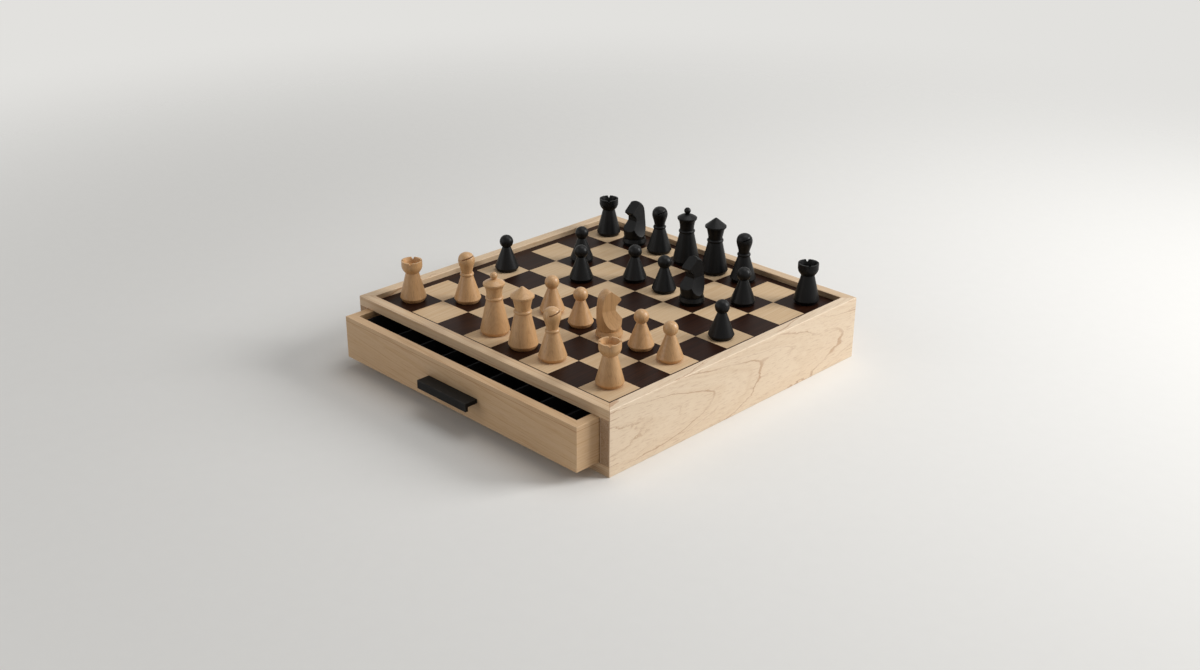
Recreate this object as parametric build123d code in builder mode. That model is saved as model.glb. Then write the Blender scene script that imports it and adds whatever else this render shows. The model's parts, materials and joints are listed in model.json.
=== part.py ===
"""Chess box with two drawers: a recessed board in a maple frame, drawers below, turned men on top.

Millimetres. X runs along the face of the front drawer, Y from that face to the rear drawer, Z up.
The origin is the centre of the case's underside.
"""
from build123d import *
import os

os.makedirs("parts", exist_ok=True)

# Board
squares_per_side = 8
square_size = 45.0
border_width = 10.0
veneer_thickness = 1.0
veneer_joint = 0.1
board_core_thickness = 4.0
board_recess = 6.5

# Case
wall = 13.0
case_height = 75.0
bottom_rail_height = 12.0
base_board_thickness = 6.0
runner_width = 20.0
groove_depth = 6.0
partition_thickness = 10.0
edge_round = 0.8

# Drawers
drawer_side_gap = 1.5
drawer_run_gap = 0.3
drawer_top_gap = 0.5
drawer_stop_gap = 1.0
drawer_wall = 11.0
drawer_bottom_thickness = 4.0
drawer_bottom_rise = 3.0
drawer_bottom_groove = 5.0
drawer_edge_round = 0.5
front_drawer_open = 31.0

# Drawer lining and dividers
lining_thickness = 1.0
lining_drop = 7.5
divider_count = 8
divider_thickness = 2.5
divider_drop = 18.0

# Bar handles and their screws
handle_length = 80.0
handle_projection = 16.5
handle_plate = 5.0
handle_lip_height = 10.0
handle_lip_thickness = 3.5
handle_round = 0.6
handle_screw_spacing = 64.0
screw_radius = 1.5
screw_clearance = 0.1
screw_grip = 8.0
screw_head_radius = 2.8
screw_head_height = 2.0
screw_head_round = 0.8
screw_head_clearance = 0.5
screw_recess_length = 3.2
screw_recess_width = 0.8
screw_recess_depth = 1.1

# Men: the foot that all the turned ones share
foot_height = 4.2
foot_bevel = 2.4
foot_round = 1.2

# Men: pawn
pawn_foot = 14.6
pawn_neck = 5.0
pawn_neck_height = 29.9
pawn_head = 8.2

# Men: rook
rook_foot = 15.2
rook_neck = 7.6
rook_neck_height = 34.0
rook_cup = 12.0
rook_cup_bulge = 0.5
rook_cup_height = 42.0
rook_height = 48.5
rook_rim = 2.0
rook_hollow = 6.5
rook_notch_width = 3.4
rook_notch_depth = 3.2

# Men: bishop
bishop_foot = 15.6
bishop_neck = 7.0
bishop_neck_height = 31.5
bishop_ring = 1.0
bishop_waist = 6.3
bishop_head = 9.6
bishop_head_height = 50.0
bishop_height = 59.4
bishop_lean = 0.15
bishop_slot = 1.5
bishop_slot_height = 51.4
bishop_slot_tilt = 18.0
bishop_slot_past_axis = 3.0

# Men: king and queen
royal_foot = 16.6
royal_neck = 8.9
royal_neck_height = 39.5
royal_ring = 1.1
royal_waist = 8.5
ring_height = 4.0
king_shoulder = 11.2
king_shoulder_height = 57.0
king_shoulder_edge = 1.0
king_flare = 0.4
king_cap = 12.9
king_cap_height = 59.8
king_height = 70.0
king_tip = 1.2
king_tip_drop = 0.5
queen_height = 71.2
queen_ball = 4.1
queen_ball_sink = 3.5
queen_dome_rise = 4.8
queen_dome_bulge = 0.6
queen_disc = 12.0
queen_disc_edge = 1.6
queen_shoulder = 9.9
queen_shoulder_drop = 4.8
queen_flare = 0.3

# Men: knight
knight_foot = 15.4
knight_step = 13.9
knight_step_height = 9.0
knight_body = 12.8
knight_belly = 14.2
knight_belly_height = 30.0
knight_shoulder = 12.4
knight_shoulder_height = 46.0
knight_crown_round = 8.1
knight_crown_round_height = 53.7
knight_height = 57.0
knight_half_thickness = 6.8
knight_cheek_height = 33.0
knight_cheek_foot_height = 10.5
knight_cheek_hollow = 9.6
knight_cheek_hollow_height = 21.75
knight_crown = -3.0
knight_crown_height = 56.4
knight_nose = 11.6
knight_nose_height = 44.6
knight_chin = 10.8
knight_chin_height = 42.8
knight_throat = 4.3
knight_throat_top = 37.2
knight_throat_bottom = 32.0
knight_chest = 12.8
knight_chest_height = 20.5
knight_nose_round = 1.2
knight_throat_round = 1.6
cut_allowance = 1.0

# Sizes that follow from those above
field_half = squares_per_side * square_size / 2
inner_half = field_half + border_width
case_half = inner_half + wall
case_size = 2 * case_half
playing_height = case_height - board_recess
core_top = playing_height - veneer_thickness
core_bottom = core_top - board_core_thickness
top_rail_height = case_height - core_bottom
opening_height = core_bottom - bottom_rail_height
seat_half = inner_half + groove_depth
runner_height = bottom_rail_height - base_board_thickness

drawer_width = 2 * (inner_half - drawer_side_gap)
drawer_depth = case_half - partition_thickness / 2 - drawer_stop_gap
drawer_height = opening_height - drawer_run_gap - drawer_top_gap
drawer_base = bottom_rail_height + drawer_run_gap
drawer_inner_width = drawer_width - 2 * drawer_wall
drawer_inner_depth = drawer_depth - 2 * drawer_wall
drawer_floor = drawer_bottom_rise + drawer_bottom_thickness
tray_width = drawer_inner_width - 2 * lining_thickness
tray_depth = drawer_inner_depth - 2 * lining_thickness
compartment = (tray_width - divider_count * divider_thickness) / (divider_count + 1)
divider_pitch = compartment + divider_thickness
divider_height = drawer_height - divider_drop - drawer_floor - lining_thickness
handle_middle = drawer_height / 2

queen_ball_middle = queen_height - queen_ball
queen_dome_height = queen_ball_middle - queen_ball_sink
queen_disc_height = queen_dome_height - queen_dome_rise
queen_shoulder_height = queen_disc_height - queen_shoulder_drop

ON_FLOOR = (Align.CENTER, Align.CENTER, Align.MIN)


def finish(builder, name):
    """Label a finished piece and write it under its own name."""
    builder.part.label = name
    export_step(builder.part, f"parts/{name}.step")


def inside(plane, other):
    """One of the standard planes, seen from the frame of another plane."""
    return Plane(plane.location * other.location)


# ---------------------------------------------------------------- case

with BuildPart() as case_envelope:
    Box(case_size, case_size, case_height, align=ON_FLOOR)
    fillet(case_envelope.edges(), radius=edge_round)


def cut_board_seats():
    """Take the board's and the base's seats out of the case piece being made."""
    with Locations((0, 0, core_bottom)):
        Box(2 * seat_half, 2 * seat_half, board_core_thickness, align=ON_FLOOR, mode=Mode.SUBTRACT)
    Box(2 * seat_half, 2 * seat_half, base_board_thickness, align=ON_FLOOR, mode=Mode.SUBTRACT)


def ease_rim(piece):
    """Round the rim's inner top edge, the one nearest the middle of the board."""
    rim_edges = piece.faces().sort_by(Axis.Z)[-1].edges()
    fillet(rim_edges.sort_by_distance((0, 0, case_height))[0], radius=edge_round)


def side_panel(side):
    """A full-height side, notched to a mitre where the top and bottom rails meet it."""
    rails = ((0, bottom_rail_height), (core_bottom, top_rail_height))
    with BuildPart() as panel:
        with Locations((side * (case_half - wall / 2), 0, 0)):
            Box(wall, case_size, case_height, align=ON_FLOOR)
        for rail_bottom, rail_height in rails:
            for end in (-1, 1):
                corner = (side * case_half, end * case_half)
                along = (side * inner_half, end * case_half)
                inner = (side * inner_half, end * inner_half)
                with BuildSketch(Plane.XY.offset(rail_bottom)):
                    Polygon(corner, along, inner, align=None)
                extrude(amount=rail_height, mode=Mode.SUBTRACT)
        ease_rim(panel)
        cut_board_seats()
        add(case_envelope.part, mode=Mode.INTERSECT)
    return panel


def rail(end, bottom, height, is_rim):
    """A rail over or under a drawer opening, mitred at both corners."""
    with BuildPart() as bar:
        with BuildSketch(Plane.XY.offset(bottom)):
            Polygon(
                (-case_half, end * case_half),
                (case_half, end * case_half),
                (inner_half, end * inner_half),
                (-inner_half, end * inner_half),
                align=None,
            )
        extrude(amount=height)
        if is_rim:
            ease_rim(bar)
        cut_board_seats()
        add(case_envelope.part, mode=Mode.INTERSECT)
    return bar


finish(side_panel(-1), "side_panel_left")
finish(side_panel(1), "side_panel_right")
finish(rail(-1, core_bottom, top_rail_height, True), "front_top_rail")
finish(rail(1, core_bottom, top_rail_height, True), "rear_top_rail")
finish(rail(-1, 0, bottom_rail_height, False), "front_bottom_rail")
finish(rail(1, 0, bottom_rail_height, False), "rear_bottom_rail")

with BuildPart() as base_board:
    Box(2 * seat_half, 2 * seat_half, base_board_thickness, align=ON_FLOOR)
finish(base_board, "base_board")

with BuildPart(Plane.XY.offset(base_board_thickness)) as centre_partition:
    Box(2 * inner_half, partition_thickness, runner_height + opening_height, align=ON_FLOOR)
finish(centre_partition, "centre_partition")


def drawer_runners(end):
    """Two strips on the base, level with the bottom rail, that a drawer slides on."""
    length = inner_half - partition_thickness / 2
    middle = end * (partition_thickness + length) / 2
    with BuildPart(Plane.XY.offset(base_board_thickness)) as runners:
        with Locations((0, middle, 0)):
            with GridLocations(2 * inner_half - runner_width, 0, 2, 1):
                Box(runner_width, length, runner_height, align=ON_FLOOR)
    return runners


finish(drawer_runners(-1), "front_drawer_runners")
finish(drawer_runners(1), "rear_drawer_runners")


# ---------------------------------------------------------------- board

with BuildPart(Plane.XY.offset(core_bottom)) as board_core:
    Box(2 * seat_half, 2 * seat_half, board_core_thickness, align=ON_FLOOR)
finish(board_core, "board_core")


def square_centre(file, rank):
    """Middle of a square, counted from the left corner at the front drawer's face."""
    x = (file + 0.5) * square_size - field_half
    y = (rank + 0.5) * square_size - field_half
    return x, y


def veneer_squares(parity):
    """Every second square of the field; the left corner square has parity 0."""
    cells = []
    for file in range(squares_per_side):
        for rank in range(squares_per_side):
            if (file + rank) % 2 == parity:
                cells.append(square_centre(file, rank))
    leaf = square_size - veneer_joint
    with BuildPart(Plane.XY.offset(core_top)) as squares:
        with Locations(*cells):
            Box(leaf, leaf, veneer_thickness, align=ON_FLOOR)
    return squares


finish(veneer_squares(0), "dark_squares")
finish(veneer_squares(1), "light_squares")

with BuildPart() as board_border:
    with BuildSketch(Plane.XY.offset(core_top)):
        with PolarLocations(0, 4):
            Polygon(
                (-inner_half + veneer_joint, -inner_half),
                (inner_half - veneer_joint, -inner_half),
                (field_half - veneer_joint, -field_half),
                (-field_half + veneer_joint, -field_half),
                align=None,
            )
    extrude(amount=veneer_thickness)
finish(board_border, "board_border")


# ---------------------------------------------------------------- drawers

def drawer_boards(prefix, plane):
    """The four mitred boards of a drawer, grooved for its bottom."""
    half = drawer_width / 2
    inner = half - drawer_wall
    back = drawer_depth - drawer_wall
    outlines = {
        "front": [(-half, 0), (half, 0), (inner, drawer_wall), (-inner, drawer_wall)],
        "back": [(-half, drawer_depth), (half, drawer_depth), (inner, back), (-inner, back)],
        "left_side": [(-half, 0), (-inner, drawer_wall), (-inner, back), (-half, drawer_depth)],
        "right_side": [(half, 0), (inner, drawer_wall), (inner, back), (half, drawer_depth)],
    }
    with BuildPart(plane) as envelope:
        with Locations((0, drawer_depth / 2, 0)):
            Box(drawer_width, drawer_depth, drawer_height, align=ON_FLOOR)
        fillet(envelope.edges(), radius=drawer_edge_round)
    for side_name, outline in outlines.items():
        with BuildPart(plane) as board:
            with BuildSketch(plane):
                Polygon(*outline, align=None)
            extrude(amount=drawer_height)
            with Locations((0, drawer_depth / 2, drawer_bottom_rise)):
                Box(
                    drawer_inner_width + 2 * drawer_bottom_groove,
                    drawer_inner_depth + 2 * drawer_bottom_groove,
                    drawer_bottom_thickness,
                    align=ON_FLOOR,
                    mode=Mode.SUBTRACT,
                )
            if side_name == "front":
                with BuildSketch(inside(plane, Plane.XZ)):
                    with Locations((0, handle_middle)):
                        with GridLocations(handle_screw_spacing, 0, 2, 1):
                            Circle(screw_radius + screw_clearance)
                extrude(amount=-drawer_wall, mode=Mode.SUBTRACT)
        with BuildPart() as eased:
            add(board.part)
            add(envelope.part, mode=Mode.INTERSECT)
        finish(eased, f"{prefix}_{side_name}")


def drawer_bottom(prefix, plane):
    """The panel that sits in the grooves of the four boards."""
    with BuildPart(plane) as panel:
        with Locations((0, drawer_depth / 2, drawer_bottom_rise)):
            Box(
                drawer_inner_width + 2 * drawer_bottom_groove,
                drawer_inner_depth + 2 * drawer_bottom_groove,
                drawer_bottom_thickness,
                align=ON_FLOOR,
            )
    finish(panel, f"{prefix}_bottom")


def drawer_lining(prefix, plane):
    """Lining glued to the bottom and up the walls, cut away round the screw heads."""
    height = drawer_height - lining_drop - drawer_floor
    with BuildPart(plane) as lining:
        with Locations((0, drawer_depth / 2, drawer_floor)):
            Box(drawer_inner_width, drawer_inner_depth, height, align=ON_FLOOR)
        with Locations((0, drawer_depth / 2, drawer_floor + lining_thickness)):
            Box(tray_width, tray_depth, height, align=ON_FLOOR, mode=Mode.SUBTRACT)
        with BuildSketch(inside(plane, Plane.XZ).offset(-drawer_wall)):
            with Locations((0, handle_middle)):
                with GridLocations(handle_screw_spacing, 0, 2, 1):
                    Circle(screw_head_radius + screw_head_clearance)
        extrude(amount=-lining_thickness, mode=Mode.SUBTRACT)
    finish(lining, f"{prefix}_lining")


def drawer_dividers(prefix, plane):
    """Low walls that part the drawer into long compartments running front to back."""
    with BuildPart(plane) as dividers:
        with Locations((0, drawer_depth / 2, drawer_floor + lining_thickness)):
            with GridLocations(divider_pitch, 0, divider_count, 1):
                Box(divider_thickness, tray_depth, divider_height, align=ON_FLOOR)
    finish(dividers, f"{prefix}_dividers")


def drawer_handle(prefix, plane):
    """A bar pull: a flat plate standing out of the drawer front, with a lip turned down."""
    top = handle_middle + handle_plate / 2
    reach = -handle_projection
    end_plane = inside(plane, Plane.YZ).offset(-handle_length / 2)
    with BuildPart() as handle:
        with BuildSketch(end_plane):
            with BuildLine():
                Polyline(
                    (0, top),
                    (reach, top),
                    (reach, top - handle_lip_height),
                    (reach + handle_lip_thickness, top - handle_lip_height),
                    (reach + handle_lip_thickness, top - handle_plate),
                    (0, top - handle_plate),
                    close=True,
                )
            make_face()
        extrude(amount=handle_length)
        seat = handle.faces().filter_by(inside(plane, Plane.XZ)).sort_by_distance(plane.origin)[0]
        seat_edges = [edge.center() for edge in seat.edges()]
        free_edges = [edge for edge in handle.edges() if edge.center() not in seat_edges]
        fillet(free_edges, radius=handle_round)
        with BuildSketch(inside(plane, Plane.XZ)):
            with Locations((0, handle_middle)):
                with GridLocations(handle_screw_spacing, 0, 2, 1):
                    Circle(screw_radius)
        extrude(amount=screw_grip, mode=Mode.SUBTRACT)
    finish(handle, f"{prefix}_handle")


def handle_screws(prefix, plane):
    """Two pan-head screws with crossed recesses, put in from inside the drawer."""
    head_plane = inside(plane, Plane.XZ).offset(-drawer_wall)
    with BuildPart() as screws:
        with BuildSketch(head_plane):
            with Locations((0, handle_middle)):
                with GridLocations(handle_screw_spacing, 0, 2, 1):
                    Circle(screw_head_radius)
        extrude(amount=-screw_head_height)
        fillet(screws.faces().sort_by_distance(plane.origin)[-2:].edges(), radius=screw_head_round)
        with BuildSketch(head_plane):
            with Locations((0, handle_middle)):
                with GridLocations(handle_screw_spacing, 0, 2, 1):
                    Circle(screw_radius)
        extrude(amount=drawer_wall + screw_grip)
        with BuildSketch(head_plane.offset(-screw_head_height)):
            with Locations((0, handle_middle)):
                with GridLocations(handle_screw_spacing, 0, 2, 1):
                    Rectangle(screw_recess_length, screw_recess_width)
                    Rectangle(screw_recess_width, screw_recess_length)
        extrude(amount=screw_recess_depth, mode=Mode.SUBTRACT)
    finish(screws, f"{prefix}_handle_screws")


def drawer(prefix, plane):
    """Every piece of one drawer; the plane stands at the middle of its front's lower edge."""
    drawer_boards(prefix, plane)
    drawer_bottom(prefix, plane)
    drawer_lining(prefix, plane)
    drawer_dividers(prefix, plane)
    drawer_handle(prefix, plane)
    handle_screws(prefix, plane)


front_plane = Plane(
    origin=(0, -case_half - front_drawer_open, drawer_base), x_dir=(1, 0, 0), z_dir=(0, 0, 1)
)
rear_plane = Plane(origin=(0, case_half, drawer_base), x_dir=(-1, 0, 0), z_dir=(0, 0, 1))
drawer("front_drawer", front_plane)
drawer("rear_drawer", rear_plane)


# ---------------------------------------------------------------- men

def foot_line(foot, neck, neck_height):
    """Profile from the axis under the foot, round its bevel and up the cone to the neck."""
    return Polyline((0, 0), (foot - foot_bevel, 0), (foot, foot_height), (neck, neck_height))


def ring_line(radius, height, bulge, waist):
    """Profile of a turned ring, from the top of the cone to the waist above it."""
    top = (waist, height + ring_height)
    ThreePointArc((radius, height), (radius + bulge, height + ring_height / 2), top)
    return top


def round_foot(profile):
    """Ease the foot's widest corner."""
    fillet(profile.vertices().sort_by(Axis.X)[-1], radius=foot_round)


with BuildPart() as pawn:
    with BuildSketch(Plane.XZ) as pawn_profile:
        with BuildLine():
            foot_line(pawn_foot, pawn_neck, pawn_neck_height)
            head_rise = (pawn_head**2 - pawn_neck**2) ** 0.5
            head_middle = pawn_neck_height + head_rise
            ThreePointArc(
                (pawn_neck, pawn_neck_height),
                (pawn_head, head_middle),
                (0, head_middle + pawn_head),
            )
            Line((0, head_middle + pawn_head), (0, 0))
        make_face()
        round_foot(pawn_profile)
    revolve(axis=Axis.Z)

with BuildPart() as rook:
    with BuildSketch(Plane.XZ) as rook_profile:
        with BuildLine():
            foot_line(rook_foot, rook_neck, rook_neck_height)
            cup_middle = (rook_neck_height + rook_cup_height) / 2
            ThreePointArc(
                (rook_neck, rook_neck_height),
                ((rook_neck + 2 * rook_cup) / 3, cup_middle - rook_cup_bulge),
                (rook_cup, rook_cup_height),
            )
            Polyline(
                (rook_cup, rook_cup_height),
                (rook_cup, rook_height),
                (rook_cup - rook_rim, rook_height),
                (rook_cup - 2 * rook_rim, rook_height - rook_hollow),
                (0, rook_height - rook_hollow),
                (0, 0),
            )
        make_face()
        round_foot(rook_profile)
    revolve(axis=Axis.Z)
    for notch_plane in (Plane.XZ, Plane.YZ):
        with BuildSketch(notch_plane):
            Polygon(
                (-rook_notch_width / 2, rook_height),
                (rook_notch_width / 2, rook_height),
                (0, rook_height - rook_notch_depth),
                align=None,
            )
        extrude(amount=rook_foot, both=True, mode=Mode.SUBTRACT)

with BuildPart() as bishop:
    with BuildSketch(Plane.XZ) as bishop_profile:
        with BuildLine():
            foot_line(bishop_foot, bishop_neck, bishop_neck_height)
            waist_top = ring_line(bishop_neck, bishop_neck_height, bishop_ring, bishop_waist)
            Spline(
                waist_top,
                (bishop_head, bishop_head_height),
                (0, bishop_height),
                tangents=[(bishop_lean, 1), (-1, 0)],
            )
            Line((0, bishop_height), (0, 0))
        make_face()
        round_foot(bishop_profile)
    revolve(axis=Axis.Z)
    slot_plane = Plane(
        origin=(-bishop_slot_past_axis, 0, bishop_slot_height)
    ).rotated((0, -bishop_slot_tilt, 0))
    with BuildSketch(slot_plane):
        Rectangle(2 * bishop_head, 4 * bishop_head, align=(Align.MIN, Align.CENTER))
    extrude(amount=bishop_slot, mode=Mode.SUBTRACT)

with BuildPart() as king:
    with BuildSketch(Plane.XZ) as king_profile:
        with BuildLine():
            foot_line(royal_foot, royal_neck, royal_neck_height)
            waist_top = ring_line(royal_neck, royal_neck_height, royal_ring, royal_waist)
            ThreePointArc(
                waist_top,
                (
                    (royal_waist + king_shoulder) / 2 - king_flare,
                    (royal_neck_height + ring_height + king_shoulder_height) / 2,
                ),
                (king_shoulder, king_shoulder_height),
            )
            Polyline(
                (king_shoulder, king_shoulder_height),
                (king_cap, king_shoulder_height + king_shoulder_edge),
                (king_cap, king_cap_height),
                (king_tip, king_height - king_tip_drop),
                (0, king_height),
                (0, 0),
            )
        make_face()
        round_foot(king_profile)
    revolve(axis=Axis.Z)

with BuildPart() as queen:
    with BuildSketch(Plane.XZ) as queen_profile:
        with BuildLine():
            foot_line(royal_foot, royal_neck, royal_neck_height)
            waist_top = ring_line(royal_neck, royal_neck_height, royal_ring, royal_waist)
            ball_seat = (queen_ball**2 - queen_ball_sink**2) ** 0.5
            ThreePointArc(
                waist_top,
                (
                    (royal_waist + queen_shoulder) / 2 - queen_flare,
                    (royal_neck_height + ring_height + queen_shoulder_height) / 2,
                ),
                (queen_shoulder, queen_shoulder_height),
            )
            Polyline(
                (queen_shoulder, queen_shoulder_height),
                (queen_disc, queen_disc_height - queen_disc_edge),
                (queen_disc, queen_disc_height),
            )
            ThreePointArc(
                (queen_disc, queen_disc_height),
                (
                    (queen_disc + ball_seat) / 2,
                    (queen_disc_height + queen_dome_height) / 2 + queen_dome_bulge,
                ),
                (ball_seat, queen_dome_height),
            )
            ThreePointArc(
                (ball_seat, queen_dome_height),
                (queen_ball, queen_ball_middle),
                (0, queen_height),
            )
            Line((0, queen_height), (0, 0))
        make_face()
        round_foot(queen_profile)
    revolve(axis=Axis.Z)

with BuildPart() as knight:
    with BuildSketch(Plane.XZ) as knight_profile:
        with BuildLine():
            foot_line(knight_foot, knight_step, knight_step_height)
            Line((knight_step, knight_step_height), (knight_body, knight_step_height))
            ThreePointArc(
                (knight_body, knight_step_height),
                (knight_belly, knight_belly_height),
                (knight_shoulder, knight_shoulder_height),
            )
            ThreePointArc(
                (knight_shoulder, knight_shoulder_height),
                (knight_crown_round, knight_crown_round_height),
                (0, knight_height),
            )
            Line((0, knight_height), (0, 0))
        make_face()
        round_foot(knight_profile)
    revolve(axis=Axis.Z)
    far = 2 * knight_belly
    above = knight_height + cut_allowance
    with BuildSketch(Plane.XZ) as face_cut:
        Polygon(
            (knight_crown, above),
            (knight_crown, knight_crown_height),
            (knight_nose, knight_nose_height),
            (knight_chin, knight_chin_height),
            (knight_throat, knight_throat_top),
            (knight_throat, knight_throat_bottom),
            (knight_chest, knight_chest_height),
            (far, knight_step_height + cut_allowance),
            (far, above),
            align=None,
        )
        nose = face_cut.vertices().sort_by_distance((knight_nose, knight_nose_height))[0]
        fillet(nose, radius=knight_nose_round)
        throat = face_cut.vertices().sort_by_distance((knight_throat, knight_throat_top))[0]
        fillet(throat, radius=knight_throat_round)
    extrude(amount=far, both=True, mode=Mode.SUBTRACT)
    for cheek in (-1, 1):
        with BuildSketch(Plane.YZ):
            with BuildLine():
                Polyline(
                    (cheek * knight_half_thickness, knight_cheek_height),
                    (cheek * knight_half_thickness, above),
                    (cheek * far, above),
                    (cheek * far, knight_cheek_foot_height),
                    (cheek * knight_belly, knight_cheek_foot_height),
                )
                ThreePointArc(
                    (cheek * knight_belly, knight_cheek_foot_height),
                    (cheek * knight_cheek_hollow, knight_cheek_hollow_height),
                    (cheek * knight_half_thickness, knight_cheek_height),
                )
            make_face()
        extrude(amount=far, both=True, mode=Mode.SUBTRACT)

# Where each man stands: name, shape, place in squares (whole numbers are middles of squares,
# counted from the left corner at the front drawer), and the way it is turned in degrees
men = [
    ("white_king", king, 3.99, 0.12, 0),
    ("white_queen", queen, 2.90, 0.18, 0),
    ("white_rook_left", rook, -0.11, 0.03, 45),
    ("white_rook_right", rook, 6.89, 0.13, 45),
    ("white_bishop_left", bishop, 0.92, 0.98, 30),
    ("white_bishop_right", bishop, 4.99, 0.14, 45),
    ("white_knight", knight, 5.02, 2.00, 73),
    ("white_pawn_1", pawn, 2.97, 2.03, 0),
    ("white_pawn_2", pawn, 4.03, 2.00, 0),
    ("white_pawn_3", pawn, 6.01, 2.08, 0),
    ("white_pawn_4", pawn, 6.96, 2.07, 0),
    ("black_king", king, 4.06, 7.00, 0),
    ("black_queen", queen, 3.05, 6.99, 0),
    ("black_rook_left", rook, 0.01, 7.05, 45),
    ("black_rook_right", rook, 7.07, 7.13, 45),
    ("black_bishop_left", bishop, 1.99, 7.05, 45),
    ("black_bishop_right", bishop, 4.98, 7.10, 45),
    ("black_knight_back", knight, 1.07, 7.01, 272),
    ("black_knight_forward", knight, 5.03, 5.00, 268),
    ("black_pawn_1", pawn, 0.02, 3.13, 0),
    ("black_pawn_2", pawn, 0.97, 5.03, 0),
    ("black_pawn_3", pawn, 1.96, 4.04, 0),
    ("black_pawn_4", pawn, 2.95, 5.06, 0),
    ("black_pawn_5", pawn, 4.01, 5.06, 0),
    ("black_pawn_6", pawn, 5.99, 5.89, 0),
    ("black_pawn_7", pawn, 6.97, 3.90, 0),
]

for name, shape, file, rank, turn in men:
    x, y = square_centre(file, rank)
    with BuildPart() as man:
        with Locations(Location((x, y, playing_height), (0, 0, turn))):
            add(shape.part)
    finish(man, name)
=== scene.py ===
"""Finishes, light and camera for a chess box with two drawers and its men.

Metres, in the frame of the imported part: X along the drawer fronts, Y to the rear drawer, Z up.
"""

import json
import math

import bpy
from bpy.props import FloatProperty, FloatVectorProperty, PointerProperty
from mathutils import Matrix, Vector


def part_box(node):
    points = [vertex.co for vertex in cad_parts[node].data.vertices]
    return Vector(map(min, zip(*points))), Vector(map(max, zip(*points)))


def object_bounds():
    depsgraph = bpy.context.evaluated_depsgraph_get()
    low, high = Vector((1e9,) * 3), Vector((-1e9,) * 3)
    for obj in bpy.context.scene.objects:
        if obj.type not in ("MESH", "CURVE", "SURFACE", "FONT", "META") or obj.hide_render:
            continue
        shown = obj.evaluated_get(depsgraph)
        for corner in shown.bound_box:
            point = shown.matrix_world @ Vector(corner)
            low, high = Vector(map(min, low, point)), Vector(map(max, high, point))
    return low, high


bl_info = {
    "name": "Chess Box With Drawers",
    "version": (1, 0, 0),
    "blender": (4, 5, 0),
    "location": "View3D > Sidebar > Chess Box",
    "description": "Woods, lacquers, lining and studio for a chess box with two drawers",
    "category": "Object",
}

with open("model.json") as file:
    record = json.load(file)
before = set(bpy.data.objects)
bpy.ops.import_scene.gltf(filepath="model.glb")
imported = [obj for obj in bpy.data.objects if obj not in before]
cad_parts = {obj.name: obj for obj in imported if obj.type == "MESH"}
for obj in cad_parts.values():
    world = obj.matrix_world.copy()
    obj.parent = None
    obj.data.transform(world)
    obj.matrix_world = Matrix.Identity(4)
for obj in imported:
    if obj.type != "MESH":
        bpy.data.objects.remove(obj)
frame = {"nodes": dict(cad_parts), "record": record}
cad_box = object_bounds()

AXIS_X, AXIS_Y, AXIS_Z = 0, 1, 2
SIDES = ("side_panel_left", "side_panel_right")
RAILS = ("front_top_rail", "rear_top_rail", "front_bottom_rail", "rear_bottom_rail")
# Boards with the paler ground: paler maple, and painted light as well, for the brighter light on the
# right and rear.
PALE_LIT_BOARDS = ("side_panel_right", "rear_bottom_rail")
DRAWERS = ("front_drawer", "rear_drawer")
DRAWER_WALLS = {"front": AXIS_X, "back": AXIS_X, "left_side": AXIS_Y, "right_side": AXIS_Y}
SQUARES_ALONG = 8
PLIES = 5


def paint(red, green, blue):
    """A colour chart's 0 to 255 steps as the amounts of light that a shader takes."""
    steps = (red / 255, green / 255, blue / 255)
    return tuple(s / 12.92 if s <= 0.04045 else ((s + 0.055) / 1.055) ** 2.4 for s in steps)


def colour(name, description, default):
    """A colour that a user may change."""
    return FloatVectorProperty(
        name=name, description=description, subtype="COLOR", size=3, min=0, max=1, default=paint(*default)
    )


def length(name, description, default):
    """A size that a user may change, in metres."""
    return FloatProperty(
        name=name, description=description, subtype="DISTANCE", unit="LENGTH", min=0, default=default
    )


def power(name, description, default):
    """The power of a lamp that a user may change, in watts."""
    return FloatProperty(
        name=name, description=description, subtype="POWER", unit="POWER", min=0, default=default
    )


# ---------------------------------------------------------------- settings

class ChessBoxWoods(bpy.types.PropertyGroup):
    """Colours and figure of the woods."""

    # Paler maple that is also painted light: it stands in for the brighter light on the right and rear
    # boards.
    maple_pale_lit_side: colour("Pale maple", "Ground colour of the two palest case boards", (232, 211, 184))
    maple_case: colour("Case maple", "Ground colour of the other case boards", (216, 190, 157))
    maple_drawer: colour("Drawer maple", "Ground colour of the drawer boards", (206, 173, 134))
    maple_warm: colour("Warm band", "The warmer bands between growth rings", (196, 158, 114))
    maple_line: colour("Growth line", "The thin brown lines of the figure", (160, 102, 48))
    # End grain darker than the wood's own, and darker again as painted shade on the ends.
    maple_end_and_shade: colour("End grain", "Maple cut across its fibres", (130, 90, 52))
    plywood: colour("Plywood", "Base, core and drawer bottoms", (204, 176, 136))
    light_veneer: colour("Light squares", "Ground colour of the light squares", (216, 189, 154))
    dark_veneer: colour("Dark squares", "Ground colour of the dark squares", (28, 11, 5))
    dark_streak: colour("Dark streak", "The paler streaks of the dark veneer", (56, 30, 17))
    border_veneer: colour("Border", "Ground colour of the strips round the field", (38, 20, 13))
    men_pale: colour("Pale men", "Ground colour of the pale men", (207, 165, 117))
    men_warm: colour("Pale men's bands", "Bands between the rings of the pale men", (190, 145, 96))
    men_line: colour("Pale men's lines", "Lines of the figure of the pale men", (138, 92, 54))
    side_pitch: length("Side ring pitch", "Between two growth lines of the sides and inner boards", 0.014)
    rail_pitch: length("Rail ring pitch", "Between two growth lines of the rails", 0.0060)
    drawer_pitch: length("Drawer ring pitch", "Between two growth lines of the drawer boards", 0.0082)
    plywood_pitch: length("Plywood ring pitch", "Between two growth lines of the plywood", 0.011)
    veneer_pitch: length("Veneer ring pitch", "Between two growth lines of the veneer", 0.0050)
    men_pitch: length("Men's ring pitch", "Between two growth lines of the pale men", 0.0042)


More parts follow.
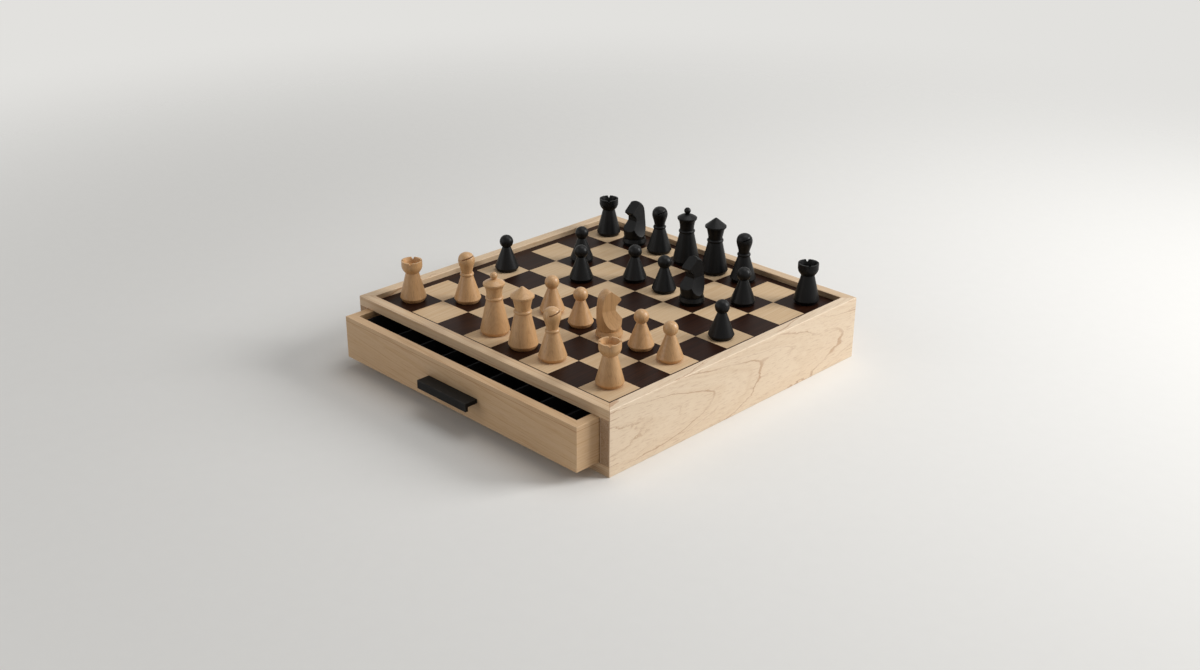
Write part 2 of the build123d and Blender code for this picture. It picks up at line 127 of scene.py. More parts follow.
class ChessBoxDarks(bpy.types.PropertyGroup):
    """Colours of what is black, and of the metal."""

    men_black: colour("Black men", "Lacquer of the black men", (11, 11, 12))
    men_worn: colour("Black men's edges", "Where the lacquer is rubbed thin", (40, 39, 39))
    lining: colour("Lining", "Lining of the drawers", (36, 37, 40))
    lining_nap: colour("Lining nap", "Where the nap of the lining is raised", (56, 58, 62))
    # The dividers take a lighter copy of the lining's felt: painted light, for the light that catches
    # them.
    divider: colour("Dividers", "Dividers of the drawers", (52, 54, 58))
    lit_divider_nap: colour("Divider nap", "Where the nap of the dividers is raised", (76, 79, 84))
    handle: colour("Handle", "Powder coat of the bar handles", (17, 16, 15))
    handle_worn: colour("Handle edge", "Where hands have polished the coat", (46, 44, 41))
    screw: colour("Screw", "Zinc of the handle screws", (176, 178, 180))
    screw_marks: colour("Screw marks", "Faint marks across the zinc", (120, 124, 128))
    screw_dull: colour("Dull zinc", "Where the zinc has gone dull", (146, 138, 120))


class ChessBoxStudio(bpy.types.PropertyGroup):
    """The floor, the lamps and the camera."""

    floor: colour("Floor", "The plain pale floor", (236, 235, 232))
    floor_speck: colour("Floor specks", "The faint specks of the floor", (190, 188, 184))
    background: colour("Background", "What the camera sees beyond the floor", (226, 225, 222))
    floor_radius: length("Floor radius", "How far the floor reaches", 6.0)
    floor_clear: length("Floor clear", "Up to where the floor is solid", 0.55)
    floor_gone: length("Floor gone", "From where only the background is seen", 1.8)
    key_power: power("Key lamp", "Power of the soft lamp at the back right", 56.0)
    fill_power: power("Fill lamp", "Power of the soft lamp at the front left", 13.0)
    top_power: power("Top lamp", "Power of the soft lamp overhead", 20.0)
    sky_strength: FloatProperty(
        name="Sky", description="Strength of the even light from all round", min=0, default=0.17
    )
    focal_length: FloatProperty(
        name="Focal length", description="Focal length of the camera on a 36 mm wide sensor",
        subtype="DISTANCE_CAMERA", unit="CAMERA", min=1, default=43.5,
    )


# ---------------------------------------------------------------- shader maths

# Where a Mix node keeps its factor, its two colours and their blend.
MIX_FACTOR, MIX_FIRST, MIX_SECOND, MIX_BLEND = 0, 6, 7, 2


class Flow:
    """One output in a finish; plain Python arithmetic on it adds the nodes."""

    def __init__(self, finish, socket):
        self.finish = finish
        self.socket = socket

    def __add__(self, other):
        return self.finish.maths("ADD", self, other)

    def __sub__(self, other):
        return self.finish.maths("SUBTRACT", self, other)

    def __rsub__(self, other):
        return self.finish.maths("SUBTRACT", other, self)

    def __mul__(self, other):
        return self.finish.maths("MULTIPLY", self, other)

    def __truediv__(self, other):
        return self.finish.maths("DIVIDE", self, other)

    def __rtruediv__(self, other):
        return self.finish.maths("DIVIDE", other, self)

    def __abs__(self):
        return self.finish.maths("ABSOLUTE", self)

    __radd__ = __add__
    __rmul__ = __mul__

    def fraction(self):
        return self.finish.maths("FRACT", self)

    def floor(self):
        return self.finish.maths("FLOOR", self)

    def root(self):
        return self.finish.maths("SQRT", self)

    def least(self, other):
        return self.finish.maths("MINIMUM", self, other)

    def most(self, other):
        return self.finish.maths("MAXIMUM", self, other)

    def rise(self, low, high):
        """0 below low, 1 above high, and a smooth step between."""
        return self.finish.node(
            "ShaderNodeMapRange",
            {"interpolation_type": "SMOOTHSTEP"},
            {"Value": self, "From Min": low, "From Max": high},
        )

    def split(self):
        """The three parts of a vector."""
        return [
            self.finish.node("ShaderNodeSeparateXYZ", {}, {"Vector": self}, out=part) for part in range(3)
        ]


class Finish:
    """A material, or the world's light, under construction."""

    def __init__(self, name, owners=None):
        owners = bpy.data.materials if owners is None else owners
        self.owner = owners.new(name)
        self.owner.use_nodes = True
        self.tree = self.owner.node_tree
        self.tree.nodes.clear()

    def node(self, kind, settings, sockets, out=0):
        """Add a node: its settings first, then what its sockets hold or are linked to."""
        made = self.tree.nodes.new(kind)
        for name, value in settings.items():
            setattr(made, name, value)
        for name, value in sockets.items():
            if isinstance(value, Flow):
                self.tree.links.new(value.socket, made.inputs[name])
            else:
                made.inputs[name].default_value = value
        return Flow(self, made.outputs[out]) if made.outputs else None

    def maths(self, operation, *values):
        """One sum on numbers and values, or on vectors if any of them is one."""
        if any(isinstance(value, Flow) and value.socket.type == "VECTOR" for value in values):
            values = [value if isinstance(value, Flow) else (value,) * 3 for value in values]
            kind = "ShaderNodeVectorMath"
        else:
            kind = "ShaderNodeMath"
        return self.node(kind, {"operation": operation}, dict(enumerate(values)))

    def place(self):
        """Where a point is in the part's own frame."""
        return self.node("ShaderNodeTexCoord", {}, {}, out="Object")

    def facing(self):
        """Which way the surface faces in the part's own frame."""
        return self.node("ShaderNodeTexCoord", {}, {}, out="Normal")

    def vector(self, x, y, z):
        return self.node("ShaderNodeCombineXYZ", {}, {"X": x, "Y": y, "Z": z})

    def noise(self, place, detail=2.0, roughness=0.5):
        """Noise of one cycle to each unit of its place; a place in metres is multiplied first."""
        sockets = {"Vector": place, "Scale": 1.0, "Detail": detail, "Roughness": roughness}
        return self.node("ShaderNodeTexNoise", {}, sockets)

    def mix(self, amount, first, second):
        """First colour where amount is 0, second where it is 1."""
        sockets = {MIX_FACTOR: amount, MIX_FIRST: tone(first), MIX_SECOND: tone(second)}
        return self.node("ShaderNodeMix", {"data_type": "RGBA"}, sockets, out=MIX_BLEND)

    def stain(self, hue, *coats):
        """Lay colours over a hue one after another, each as far as its own mask says."""
        for mask, tint in coats:
            hue = self.mix(mask, hue, tint)
        return hue

    def bump(self, height, strength, distance):
        return self.node(
            "ShaderNodeBump", {}, {"Height": height, "Strength": strength, "Distance": distance}
        )

    def surface(self, **sockets):
        """Close the finish with its shader and return the material."""
        named = {
            name.replace("_", " ").title().replace("Ior", "IOR"): value
            for name, value in sockets.items()
        }
        shader = self.node("ShaderNodeBsdfPrincipled", {}, named)
        self.node("ShaderNodeOutputMaterial", {}, {"Surface": shader})
        return self.owner


def tone(value):
    """A colour as a socket takes it; a link is passed on as it is."""
    return value if isinstance(value, Flow) else (*value, 1.0)


def dress(node, material):
    """Put a material on a CAD node's slots."""
    piece = frame["nodes"][node]
    if not piece.material_slots:
        piece.data.materials.append(material)
    for slot in piece.material_slots:
        slot.material = material


def edge_distance(place, node):
    """How far a point on a box-shaped node is from the nearest of the box's edges."""
    low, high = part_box(node)
    first, second, third = [
        (part - low[k]).least(high[k] - part) for k, part in enumerate(place.split())
    ]
    return first.least(second).most(second.least(third)).most(first.least(third))


# ---------------------------------------------------------------- wood

# Sizes of grain and marks, in cycles per metre: along them, then across.
DRIFT_GRAIN = (6.0, 15.0)
WILD_GRAIN = (10.0, 26.0)
JAG_GRAIN = (34.0, 75.0)
FIBRE_GRAIN = (16.0, 620.0)
PORE_GRAIN = (150.0, 2400.0)
LACQUER_GRAIN = (22.0, 420.0)
ZINC_MARKS = (90.0, 900.0)

# Sizes of what has no direction, in cycles per metre.
BORDER_CLOUD = 9.0
FELT_NAP = 900.0
FELT_BRUSHED = 38.0
COAT_GRIT = 1500.0
COAT_CLOUD = 45.0
ZINC_DULL = 260.0
LACQUER_CLOUD = 70.0
FLOOR_SPECK = 60.0

# Widths of a growth line, in metres.
BOARD_LINE = 0.00060
VENEER_LINE = 0.00050
MEN_LINE = 0.00045

# Shares of that width: a line's dark core, and the core and the whole of the hairs between the
# lines. Then how dark a hair is beside a line, and how many hairs go to a ring.
LINE_CORE = 0.35
HAIR_CORE = 0.2
HAIR_WIDTH = 0.8
HAIR_DEPTH = 0.45
HAIRS_PER_RING = 3.0

# How far from an edge or a glue line its mark is full, and from where it is gone, in metres.
# Board edges: rubbed wear, and a painted highlight where the eased edges catch the light.
BOARD_EDGE_WEAR_AND_HIGHLIGHT = (0.0002, 0.0016)
HANDLE_EDGE_WEAR = (0.0003, 0.0014)
# The pale men get darker towards the foot.
PALE_FOOT_DARKENING = (0.0004, 0.0026)
BLACK_FOOT_WEAR = (0.0006, 0.0030)
MITRE_LINE = (0.00012, 0.00040)
RAIL_LINE = (0.00010, 0.00030)
LIPPING_LINE = (0.00012, 0.00042)

# How high the finest relief stands, in metres.
BOARD_RELIEF = 0.00012
PLYWOOD_RELIEF = 0.00015
VENEER_RELIEF = 0.00010
MEN_RELIEF = 0.00010
LACQUER_RELIEF = 0.00012
FELT_RELIEF = 0.00030
COAT_RELIEF = 0.00008
ZINC_RELIEF = 0.00004


def timber(finish, place, along, pith, lean, pitch, seed, line_width=BOARD_LINE, jagged=0.10):
    """Figure of solid wood: growth line, warm band, late wood, fibre and pores, each 0 to 1.

    The fibres run along one axis; pith is where the tree's middle lies on the two others, and
    lean how far it drifts from them per metre, which opens the rings into arches.
    """
    parts = place.split()
    run = parts[along]
    across, depth = [parts[k] for k in range(3) if k != along]
    u = across - pith[0] + run * lean[0]
    v = depth - pith[1] + run * lean[1]

    def grain(size, detail, roughness=0.5):
        """Noise drawn out along the fibres."""
        lengthwise, crosswise = size
        spot = finish.vector(run * lengthwise + seed, u * crosswise, v * crosswise)
        return finish.noise(spot, detail, roughness)

    drift = grain(DRIFT_GRAIN, detail=2.0) - 0.5
    wild = grain(WILD_GRAIN, detail=2.0).rise(0.44, 0.64)
    lengthwise, crosswise = JAG_GRAIN
    jag_spot = finish.vector(run * lengthwise, u * crosswise + seed, v * crosswise)
    jag = (finish.noise(jag_spot, detail=4.0, roughness=0.62) - 0.5) * (0.30 + wild * 0.85)
    radius = (u * u + v * v).root() + drift * pitch * (1.1 + jagged) + jag * pitch * jagged
    rings = radius / pitch

    wanes = finish.noise(finish.vector(run * 14.0, rings * 3.0 + seed, v * 30.0), detail=2.0)
    off_line = abs(rings.fraction() - 0.5) * pitch
    line = (1.0 - off_line.rise(line_width * LINE_CORE, line_width)) * wanes.rise(0.36, 0.60)
    off_hair = abs((rings * HAIRS_PER_RING).fraction() - 0.5) * (pitch / HAIRS_PER_RING)
    hair = 1.0 - off_hair.rise(line_width * HAIR_CORE, line_width * HAIR_WIDTH)
    line = line.most(hair * wanes.rise(0.50, 0.66) * HAIR_DEPTH)

    band_spot = finish.vector(rings * 3.6, run * 1.6 + seed, v * 2.0)
    band = finish.noise(band_spot, detail=4.0, roughness=0.62)
    late = (rings + 0.5).fraction().rise(0.45, 1.0)
    fibre = grain(FIBRE_GRAIN, detail=3.0, roughness=0.6)
    pores = grain(PORE_GRAIN, detail=1.0)
    return line, band, late, fibre, pores


def maple_board(
    node, ground, along, pith, lean, seed, pitch=None, figure=1.0, bands=0.3, jagged=0.10, joints=None
):
    """Dress a lacquered maple board, with its end grain, rubbed edges and glue lines; the end grain holds
    painted shade, and the paler edges are rubbed wear and a painted highlight.
    """
    woods = bpy.context.scene.chess_box_woods
    finish = Finish(f"{node}_maple")
    place = finish.place()
    line, band, late, fibre, pores = timber(
        finish, place, along, pith, lean, pitch or woods.side_pitch, seed, jagged=jagged
    )
    endwise = abs(finish.facing().split()[along]).rise(0.6, 0.95)
    # Paler along the edges: rubbed wear and a painted highlight on the eased edges.
    rubbed = (1.0 - edge_distance(place, node).rise(*BOARD_EDGE_WEAR_AND_HIGHLIGHT)) * (0.35 + band * 0.5)
    paler = tuple(min(1.0, part * 1.12) for part in ground)
    hue = finish.stain(
        ground,
        (band.rise(0.36, 0.76) * bands, woods.maple_warm),
        (late * 0.3 * bands, woods.maple_warm),
        (fibre.rise(0.50, 0.76) * 0.30, woods.maple_line),
        (pores.rise(0.64, 0.78) * 0.24, woods.maple_line),
        (line * 0.48 * figure, woods.maple_line),
        # End grain: darker wood, and painted shade as well.
        (endwise * (0.45 + fibre * 0.4), woods.maple_end_and_shade),
        (rubbed * 0.45, paler),
    )
    if joints:
        hue = finish.mix(joints(place) * 0.72, hue, woods.maple_line)
    gloss = 0.40 + fibre * 0.12 + band * 0.06 - rubbed * 0.08 + endwise * 0.15
    relief = finish.bump(fibre * 0.5 + pores * 0.3 - line * 0.6, 0.22, BOARD_RELIEF)
    dress(
        node,
        finish.surface(
            base_color=hue, roughness=gloss, normal=relief, specular_ior_level=0.42,
            coat_weight=0.12, coat_roughness=0.28,
        ),
    )


def mitre_lines(place):
    """The hairlines at the corners: the mitres seen on top, and under and over the rails."""
    low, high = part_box("front_top_rail")
    bottom_rail_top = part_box("front_bottom_rail")[1][AXIS_Z]
    x, y, z = place.split()
    post = high[AXIS_X] - (high[AXIS_Y] - low[AXIS_Y])
    corner = abs(x).least(abs(y)).rise(post - MITRE_LINE[1], post)
    mitre = 1.0 - abs(abs(x) - abs(y)).rise(*MITRE_LINE)
    level = abs(z - low[AXIS_Z]).least(abs(z - bottom_rail_top))
    return mitre.most(1.0 - level.rise(*RAIL_LINE)) * corner


class DressCase(bpy.types.Operator):
    """Finish the two side panels and the four rails of the case"""

    bl_idname = "chess_box.dress_case"
    bl_label = "Case Boards"

    def execute(self, context):
        woods = context.scene.chess_box_woods
        # The paler ground of the right panel and rear bottom rail is partly painted light.
        grounds = {True: woods.maple_pale_lit_side, False: woods.maple_case}
        for number, node in enumerate(SIDES):
            low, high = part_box(node)
            outer = max(low[AXIS_X], high[AXIS_X], key=abs)
            maple_board(
                node, grounds[node in PALE_LIT_BOARDS], AXIS_Y, pith=(outer * 0.80, 0.030),
                lean=(0.13, 0.035), seed=number * 3.7 + 1.3, bands=0.24, jagged=0.90,
                joints=mitre_lines,
            )
        for number, node in enumerate(RAILS):
            low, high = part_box(node)
            middle = (low[AXIS_Y] + high[AXIS_Y]) / 2
            maple_board(
                node, grounds[node in PALE_LIT_BOARDS], AXIS_X,
                pith=(middle * 0.66, low[AXIS_Z] - 0.055), lean=(0.02, 0.015),
                seed=number * 5.1 + 7.9, pitch=woods.rail_pitch, figure=0.7, bands=0.6,
                joints=mitre_lines,
            )
        return {"FINISHED"}


def plywood(node, seed):
    """Dress plain birch plywood: quiet faces, and plies that show at the edges."""
    woods = bpy.context.scene.chess_box_woods
    finish = Finish(f"{node}_plywood")
    place = finish.place()
    low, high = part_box(node)
    line, band, _, fibre, pores = timber(
        finish, place, AXIS_X, pith=(0.02, low[AXIS_Z] - 0.09), lean=(0.05, 0.07),
        pitch=woods.plywood_pitch, seed=seed,
    )
    ply_thickness = (high[AXIS_Z] - low[AXIS_Z]) / PLIES
    ply = ((place.split()[AXIS_Z] - low[AXIS_Z]) / ply_thickness).floor() * 0.5
    edgewise = 1.0 - abs(finish.facing().split()[AXIS_Z]).rise(0.5, 0.9)
    hue = finish.stain(
        woods.plywood,
        (band.rise(0.35, 0.75) * 0.6, woods.maple_warm),
        (fibre.rise(0.5, 0.8) * 0.25, woods.maple_line),
        (line * 0.3, woods.maple_line),
        # The ply edges take the end-grain colour, which holds painted shade too.
        (edgewise * (0.2 + ply.fraction()), woods.maple_end_and_shade),
    )
    relief = finish.bump(fibre * 0.6 + pores * 0.4, 0.3, PLYWOOD_RELIEF)
    gloss = 0.55 + fibre * 0.15 + edgewise * 0.1
    dress(
        node,
        finish.surface(base_color=hue, roughness=gloss, normal=relief, specular_ior_level=0.35),
    )


class DressHiddenBoards(bpy.types.Operator):
    """Finish the base, the board core, the centre partition and the drawer runners"""

    bl_idname = "chess_box.dress_hidden_boards"
    bl_label = "Inner Boards"

    def execute(self, context):
        ground = context.scene.chess_box_woods.maple_drawer
        for number, node in enumerate(("base_board", "board_core")):
            plywood(node, seed=2.2 + number * 4.4)
        maple_board(
            "centre_partition", ground, AXIS_X, pith=(0.06, 0.02), lean=(0.03, 0.02), seed=21.0
        )
        for number, drawer_name in enumerate(DRAWERS):
            maple_board(
                f"{drawer_name}_runners", ground, AXIS_Y, pith=(0.0, -0.06), lean=(0.02, 0.02),
                seed=23.0 + number,
            )
        return {"FINISHED"}


# ---------------------------------------------------------------- playing field

def veneer(node, name, ground, streak, seed, contrast, square=None):
    """Dress veneer under satin lacquer; with a square's size, each is cut from its own leaf."""
    woods = bpy.context.scene.chess_box_woods
    finish = Finish(name)
    place = finish.place()
    if square:
        index = (place / square).floor()
        leaf = finish.node("ShaderNodeTexWhiteNoise", {"noise_dimensions": "3D"}, {"Vector": index})
        x, y, z = place.split()
        shift = leaf * 0.8
        grain_place = finish.vector(x + shift, y + shift * 1.7, z)
    else:
        leaf = finish.noise(place * BORDER_CLOUD, detail=1.0)
        grain_place = place
    line, band, _, fibre, pores = timber(
        finish, grain_place, AXIS_Y, pith=(0.11, -0.02), lean=(0.04, 0.03),
        pitch=woods.veneer_pitch, seed=seed, line_width=VENEER_LINE,
    )
    darker = tuple(part * 0.62 for part in ground)
    hue = finish.stain(
        ground,
        (band.rise(0.38, 0.72) * contrast, streak),
        (fibre.rise(0.46, 0.78) * contrast * 0.8, streak),
        (line * contrast * 0.5, streak),
        (leaf * 0.30, darker),
        (pores.rise(0.62, 0.78) * 0.35, darker),
    )
    relief = finish.bump(fibre * 0.5 + pores * 0.5, 0.18, VENEER_RELIEF)
    gloss = 0.34 + fibre * 0.14 + leaf * 0.05
    dress(
        node,
        finish.surface(
            base_color=hue, roughness=gloss, normal=relief, specular_ior_level=0.07,
            coat_weight=0.01, coat_roughness=0.18,
        ),
    )


class DressField(bpy.types.Operator):
    """Finish the dark and light squares and the dark strips round them"""

    bl_idname = "chess_box.dress_field"
    bl_label = "Playing Field"

    def execute(self, context):
        woods = context.scene.chess_box_woods
        low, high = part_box("dark_squares")
        square = (high[AXIS_X] - low[AXIS_X]) / SQUARES_ALONG
        veneer(
            "dark_squares", "dark_square_veneer", woods.dark_veneer, woods.dark_streak,
            seed=31.0, contrast=0.62, square=square,
        )
        veneer(
            "light_squares", "light_square_veneer", woods.light_veneer, woods.maple_warm,
            seed=37.0, contrast=0.5, square=square,
        )
        veneer(
            "board_border", "border_veneer", woods.border_veneer, woods.dark_streak,
            seed=41.0, contrast=0.6,
        )
        return {"FINISHED"}


# ---------------------------------------------------------------- drawers

class DressDrawerBoards(bpy.types.Operator):
    """Finish the fronts, backs, sides and bottoms of both drawers"""

    bl_idname = "chess_box.dress_drawer_boards"
    bl_label = "Drawer Boards"

    lipping: length("Lipping", "Depth of the strip along the upper edges of the drawer boards", 0.005)

    def execute(self, context):
        woods = context.scene.chess_box_woods
        for number, drawer_name in enumerate(DRAWERS):
            under_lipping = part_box(f"{drawer_name}_front")[1][AXIS_Z] - self.lipping

            def lipping_line(place, level=under_lipping):
                """The hairline under the strip that edges the boards."""
                return 1.0 - abs(place.split()[AXIS_Z] - level).rise(*LIPPING_LINE)

            for wall, (side, along) in enumerate(DRAWER_WALLS.items()):
                node = f"{drawer_name}_{side}"
                low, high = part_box(node)
                through = AXIS_Y if along == AXIS_X else AXIS_X
                middle = (low[through] + high[through]) / 2
                maple_board(
                    node, woods.maple_drawer, along, pith=(middle * 0.55, 0.155),
                    lean=(0.05, 0.045), seed=50.0 + wall * 2.9 + number * 17.0,
                    pitch=woods.drawer_pitch, figure=0.6, bands=0.6, joints=lipping_line,
                )
            plywood(f"{drawer_name}_bottom", seed=61.0 + number)
        return {"FINISHED"}


def felt(name, ground, raised):
    """Short-napped black felt, brushed this way and that."""
    finish = Finish(name)
    place = finish.place()
    nap = finish.noise(place * FELT_NAP, detail=3.0, roughness=0.7)
    brushed = finish.noise(place * FELT_BRUSHED, detail=3.0, roughness=0.6)
    hue = finish.mix(nap.rise(0.35, 0.8) * (0.25 + brushed * 0.6), ground, raised)
    return finish.surface(
        base_color=hue, roughness=0.86 + nap * 0.1, normal=finish.bump(nap, 0.5, FELT_RELIEF),
        specular_ior_level=0.25, sheen_weight=0.18, sheen_roughness=0.45,
    )


class DressLinings(bpy.types.Operator):
    """Finish the black lining and the dividers of both drawers"""

    bl_idname = "chess_box.dress_linings"
    bl_label = "Linings and Dividers"

    def execute(self, context):
        darks = context.scene.chess_box_darks
        lining = felt("black_lining", darks.lining, darks.lining_nap)
        # The divider felt is the lining made lighter: painted light on the dividers.
        divider = felt("black_divider", darks.divider, darks.lit_divider_nap)
        for drawer_name in DRAWERS:
            dress(f"{drawer_name}_lining", lining)
            dress(f"{drawer_name}_dividers", divider)
        return {"FINISHED"}


class DressHandles(bpy.types.Operator):
    """Finish the two black bar handles"""

    bl_idname = "chess_box.dress_handles"
    bl_label = "Bar Handles"

    def execute(self, context):
        darks = context.scene.chess_box_darks
        for number, drawer_name in enumerate(DRAWERS):
            node = f"{drawer_name}_handle"
            finish = Finish(f"{node}_coat")
            place = finish.place()
            grit = finish.noise(place * COAT_GRIT, detail=2.0, roughness=0.6)
            cloud = finish.noise(place * COAT_CLOUD + number * 5.0, detail=3.0)
            edge_wear = 1.0 - edge_distance(place, node).rise(*HANDLE_EDGE_WEAR)
            rubbed = edge_wear * cloud.rise(0.35, 0.65)
            hue = finish.stain(
                darks.handle,
                (rubbed * 0.55, darks.handle_worn),
                (cloud.rise(0.5, 0.8) * 0.18, darks.handle_worn),
            )
            material = finish.surface(
                base_color=hue, roughness=0.46 + grit * 0.14 - rubbed * 0.1,
                normal=finish.bump(grit, 0.25, COAT_RELIEF), specular_ior_level=0.14,
            )
            dress(node, material)
        return {"FINISHED"}


class DressScrews(bpy.types.Operator):
    """Finish the zinc-plated screws of the handles"""

    bl_idname = "chess_box.dress_screws"
    bl_label = "Handle Screws"

    def execute(self, context):
        darks = context.scene.chess_box_darks
        finish = Finish("zinc_screw")
        place = finish.place()
        x, y, z = place.split()
        lengthwise, crosswise = ZINC_MARKS
        marks_spot = finish.vector(x * crosswise, y * lengthwise, z * crosswise)
        marks = finish.noise(marks_spot, detail=3.0, roughness=0.6)
        dull = finish.noise(place * ZINC_DULL, detail=3.0)
        hue = finish.stain(
            darks.screw,
            (marks.rise(0.3, 0.8) * 0.4, darks.screw_marks),
            (dull.rise(0.55, 0.8) * 0.4, darks.screw_dull),
        )
        material = finish.surface(
            base_color=hue, roughness=0.28 + dull * 0.25, metallic=0.95 - dull * 0.1,
            normal=finish.bump(marks, 0.3, ZINC_RELIEF),
        )
        for drawer_name in DRAWERS:
            dress(f"{drawer_name}_handle_screws", material)
        return {"FINISHED"}


# ---------------------------------------------------------------- men

def men_of(side):
    """The nodes of one side's men, in the order of the record."""
    return [
        entry["node"] for entry in frame["record"]["subparts"] if entry["node"].startswith(side)
    ]


class DressPaleMen(bpy.types.Operator):
    """Finish the pale turned men in waxed wood"""

    bl_idname = "chess_box.dress_pale_men"
    bl_label = "Pale Men"

    def execute(self, context):
        woods = context.scene.chess_box_woods
        for number, node in enumerate(men_of("white")):
            low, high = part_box(node)
            centre_x, centre_y = [(low[k] + high[k]) / 2 for k in (AXIS_X, AXIS_Y)]
            turn = number * 2.4
            reach = 0.024 + 0.006 * math.sin(number * 1.9)
            pith = (centre_x + reach * math.cos(turn), centre_y + reach * math.sin(turn))
            finish = Finish(f"{node}_wood")
            place = finish.place()
            line, band, late, fibre, pores = timber(
                finish, place, AXIS_Z, pith, lean=(0.06, 0.05), pitch=woods.men_pitch,
                seed=number * 1.7, line_width=MEN_LINE,
            )
            height = place.split()[AXIS_Z] - low[AXIS_Z]
            # Darker towards the foot, over its lowest few millimetres.
            foot_mark = 1.0 - height.rise(*PALE_FOOT_DARKENING)
            hue = finish.stain(
                woods.men_pale,
                (band.rise(0.36, 0.74) * 0.42, woods.men_warm),
                (late * 0.12, woods.men_warm),
                (fibre.rise(0.46, 0.74) * 0.27, woods.men_line),
                (pores.rise(0.60, 0.76) * 0.30, woods.men_line),
                (line * 0.14, woods.men_line),
                (foot_mark * 0.35, woods.men_line),
            )
            relief = finish.bump(fibre * 0.5 + pores * 0.4, 0.2, MEN_RELIEF)
            material = finish.surface(
                base_color=hue, roughness=0.34 + fibre * 0.12 + band * 0.05, normal=relief,
                specular_ior_level=0.35, coat_weight=0.30, coat_roughness=0.25,
            )
            dress(node, material)
        return {"FINISHED"}


class DressBlackMen(bpy.types.Operator):
    """Finish the black turned men in satin lacquer over wood"""

    bl_idname = "chess_box.dress_black_men"
    bl_label = "Black Men"

    def execute(self, context):
        darks = context.scene.chess_box_darks
        lengthwise, crosswise = LACQUER_GRAIN
        for number, node in enumerate(men_of("black")):
            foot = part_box(node)[0][AXIS_Z]
            finish = Finish(f"{node}_lacquer")
            place = finish.place()
            x, y, z = place.split()
            grain_spot = finish.vector(x * crosswise + number, y * crosswise, z * lengthwise)
            grain = finish.noise(grain_spot, detail=3.0, roughness=0.6)
            cloud = finish.noise(place * LACQUER_CLOUD + number * 3.0, detail=3.0)
            foot_mark = (1.0 - (z - foot).rise(*BLACK_FOOT_WEAR)) * cloud.rise(0.3, 0.6)
            hue = finish.stain(
                darks.men_black,
                (grain.rise(0.45, 0.8) * 0.22, darks.men_worn),
                (cloud.rise(0.55, 0.8) * 0.12, darks.men_worn),
                (foot_mark * 0.4, darks.men_worn),
            )
            material = finish.surface(
                base_color=hue, roughness=0.36 + grain * 0.12 + cloud * 0.06,
                normal=finish.bump(grain, 0.22, LACQUER_RELIEF), specular_ior_level=0.14,
                coat_weight=0.08, coat_roughness=0.23,
            )
            dress(node, material)
        return {"FINISHED"}


# ---------------------------------------------------------------- studio

# Each soft lamp: the setting that holds its power, the side of its square and where it hangs.
LAMPS = {
    "key_lamp": ("key_power", 1.2, (1.62, 1.69, 1.30)),
    "fill_lamp": ("fill_power", 1.8, (-1.3, -2.2, 1.0)),
    "top_lamp": ("top_power", 1.6, (0.2, 0.6, 2.4)),
}
SKY_TINT = (1.0, 0.985, 0.965)

# Where the camera stands, what it looks along, and which way is right in its picture.
CAMERA_SPOT = (1.0819, -1.0989, 0.7272)
CAMERA_FORWARD = (-0.6425, 0.6449, -0.4139)
CAMERA_RIGHT = (0.7070, 0.7072, 0.0043)
SENSOR_WIDTH = 36.0
CAMERA_REACH = 200.0


def floor_disc(radius, segments=96, circles=12):
    """A round floor as a fan of rings, fine near the part and coarse far off."""
    points = [(0.0, 0.0, 0.0)]
    faces = []
    for circle in range(1, circles + 1):
        reach = radius * (circle / circles) ** 3
        for step in range(segments):
            angle = 2 * math.pi * step / segments
            points.append((reach * math.cos(angle), reach * math.sin(angle), 0.0))
    for step in range(segments):
        follow = (step + 1) % segments
        faces.append((0, 1 + step, 1 + follow))
        for circle in range(circles - 1):
            inner = 1 + circle * segments
            outer = inner + segments
            faces.append((inner + step, outer + step, outer + follow, inner + follow))
    mesh = bpy.data.meshes.new("studio_floor")
    mesh.from_pydata(points, [], faces)
    mesh.update()
    floor = bpy.data.objects.new("studio_floor", mesh)
    bpy.context.scene.collection.objects.link(floor)
    return floor


def floor_paint(studio):
    """Plain pale paint that thins out to nothing before the floor's rim."""
    finish = Finish("floor_paint")
    place = finish.place()
    x, y, _ = place.split()
    solid = 1.0 - (x * x + y * y).root().rise(studio.floor_clear, studio.floor_gone)
    speck = finish.noise(place * FLOOR_SPECK, detail=3.0)
    return finish.surface(
        base_color=finish.mix(speck * 0.06, studio.floor, studio.floor_speck),
        roughness=0.85 + speck * 0.08, specular_ior_level=0.05, alpha=solid,
    )


def soft_lamp(name, power, size, spot, aim):
    """A square area lamp that faces a point."""
    lamp = bpy.data.lights.new(name, "AREA")
    lamp.shape = "SQUARE"
    lamp.size = size
    lamp.energy = power
    holder = bpy.data.objects.new(name, lamp)
    holder.location = spot
    holder.rotation_euler = (Vector(aim) - Vector(spot)).to_track_quat("-Z", "Y").to_euler()
    bpy.context.scene.collection.objects.link(holder)


def studio_sky(studio):
    """Even light from all round; the camera, mirrors and glass see the plain background instead."""
    sky = Finish("studio_sky", bpy.data.worlds)
    seen, mirrored, passed = [
        sky.node("ShaderNodeLightPath", {}, {}, out=f"Is {ray} Ray")
        for ray in ("Camera", "Glossy", "Transmission")
    ]
    light, backdrop = [
        sky.node("ShaderNodeBackground", {}, {"Color": tone(tint), "Strength": strength})
        for tint, strength in ((SKY_TINT, studio.sky_strength), (studio.background, 1.0))
    ]
    plain = seen.most(mirrored).most(passed)
    blend = sky.node("ShaderNodeMixShader", {}, {0: plain, 1: light, 2: backdrop})
    sky.node("ShaderNodeOutputWorld", {}, {"Surface": blend})
    return sky.owner


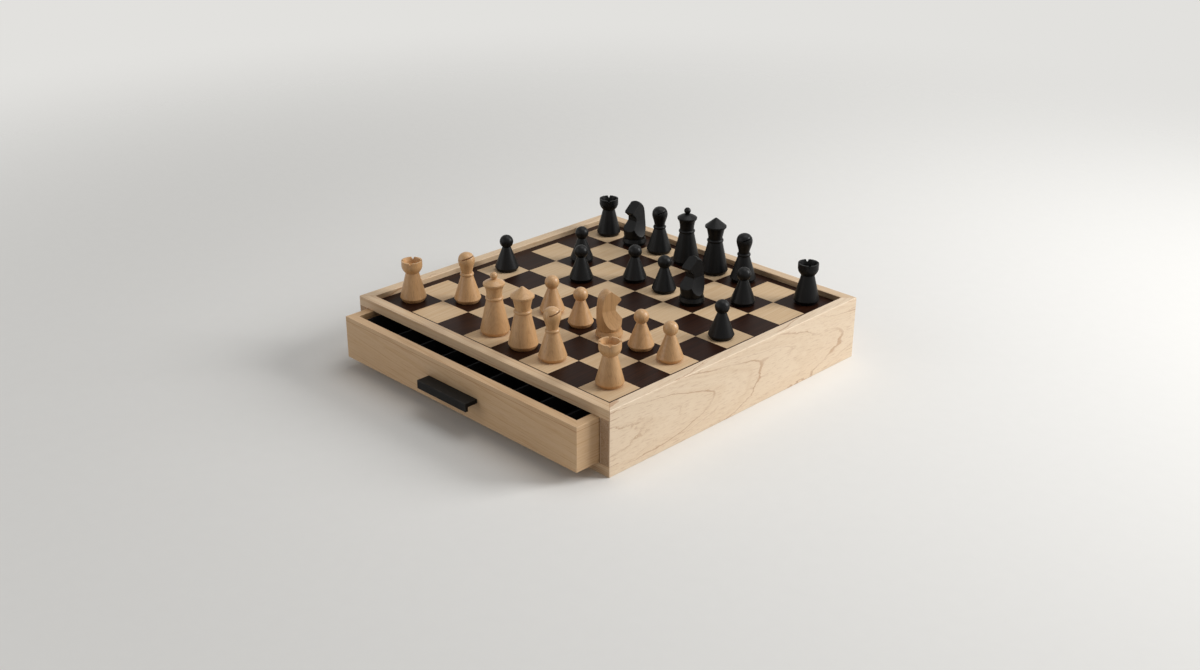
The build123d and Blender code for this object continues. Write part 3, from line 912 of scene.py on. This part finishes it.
def studio_camera(focal_length):
    """A camera at the front right and above, where the photograph was taken from."""
    camera = bpy.data.cameras.new("studio_camera")
    camera.sensor_width = SENSOR_WIDTH
    camera.lens = focal_length
    camera.clip_end = CAMERA_REACH
    holder = bpy.data.objects.new("studio_camera", camera)
    bpy.context.scene.collection.objects.link(holder)
    forward = Vector(CAMERA_FORWARD).normalized()
    right = Vector(CAMERA_RIGHT).normalized()
    turn = Matrix((right, right.cross(forward), -forward)).transposed().to_4x4()
    holder.matrix_world = Matrix.Translation(CAMERA_SPOT) @ turn
    return holder


class BuildStudio(bpy.types.Operator):
    """Lay the pale floor, set the soft lamps and the sky, and place the camera"""

    bl_idname = "chess_box.build_studio"
    bl_label = "Studio"

    def execute(self, context):
        scene = context.scene
        studio = scene.chess_box_studio
        floor = floor_disc(studio.floor_radius)
        floor.data.materials.append(floor_paint(studio))
        low, high = cad_box
        aim = (0.0, 0.0, (low[AXIS_Z] + high[AXIS_Z]) / 2)
        for name, (power, size, spot) in LAMPS.items():
            soft_lamp(name, getattr(studio, power), size, spot, aim)
        scene.world = studio_sky(studio)
        scene.camera = studio_camera(studio.focal_length)
        scene.view_settings.view_transform = "Standard"
        return {"FINISHED"}


# ---------------------------------------------------------------- panel

OPERATORS = (
    DressCase, DressHiddenBoards, DressField, DressDrawerBoards, DressLinings, DressHandles,
    DressScrews, DressPaleMen, DressBlackMen, BuildStudio,
)


class ChessBoxPanel(bpy.types.Panel):
    """Every step of dressing the chess box"""

    bl_idname = "VIEW3D_PT_chess_box"
    bl_label = "Chess Box"
    bl_space_type = "VIEW_3D"
    bl_region_type = "UI"
    bl_category = "Chess Box"

    def draw(self, context):
        for operator in OPERATORS:
            self.layout.operator(operator.bl_idname)


SETTINGS = {
    "chess_box_woods": ChessBoxWoods,
    "chess_box_darks": ChessBoxDarks,
    "chess_box_studio": ChessBoxStudio,
}


def register():
    """Add the settings, the operators and the panel."""
    for name, group in SETTINGS.items():
        bpy.utils.register_class(group)
        setattr(bpy.types.Scene, name, PointerProperty(type=group))
    for operator in OPERATORS:
        bpy.utils.register_class(operator)
    bpy.utils.register_class(ChessBoxPanel)


def unregister():
    """Take them away again."""
    bpy.utils.unregister_class(ChessBoxPanel)
    for operator in reversed(OPERATORS):
        bpy.utils.unregister_class(operator)
    for name, group in SETTINGS.items():
        delattr(bpy.types.Scene, name)
        bpy.utils.unregister_class(group)


def main():
    """Dress every piece and build the studio."""
    register()
    for operator in OPERATORS:
        group, name = operator.bl_idname.split(".")
        getattr(getattr(bpy.ops, group), name)()


if __name__ == "__main__":
    main()
